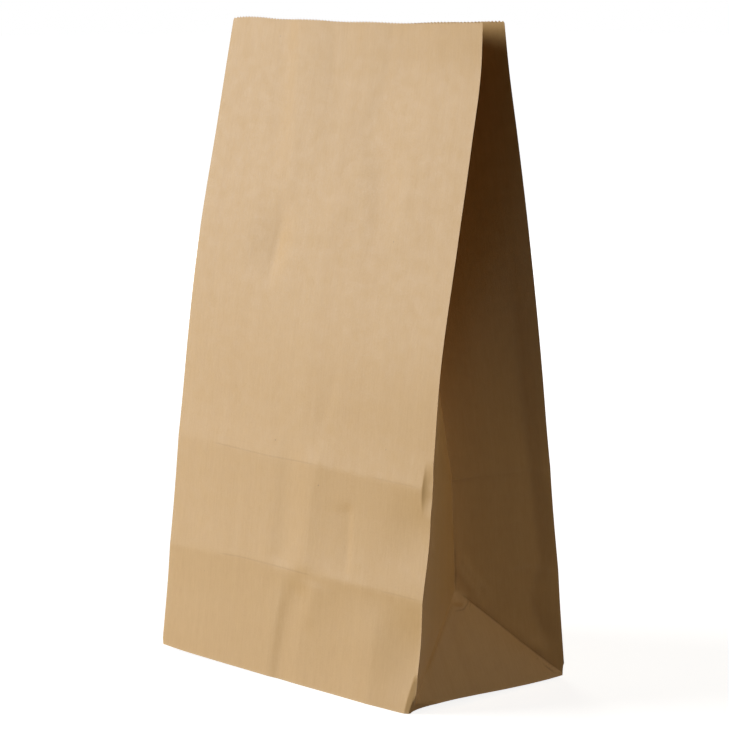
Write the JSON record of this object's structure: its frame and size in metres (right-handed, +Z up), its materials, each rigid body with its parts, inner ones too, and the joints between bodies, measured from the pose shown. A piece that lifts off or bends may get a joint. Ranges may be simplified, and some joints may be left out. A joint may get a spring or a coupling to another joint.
{
  "type": "paper bag",
  "caption": "Plain brown kraft paper bag with gusseted sides and a folded block bottom, standing upright and slightly open.",
  "frame": {"origin": "on the surface the bag stands on, at the middle of its bottom", "axes": "+Z up to the mouth, -Y out of the front panel, +X out of the right gusset, the back seam at +Y"},
  "size_m": [0.1802, 0.107, 0.3185],
  "materials": {
    "kraft_paper": "matt uncoated brown kraft, faintly streaked along the bag"
  },
  "bodies": {
    "root": {"paper_bag": "kraft_paper"}
  },
  "joints": []
}
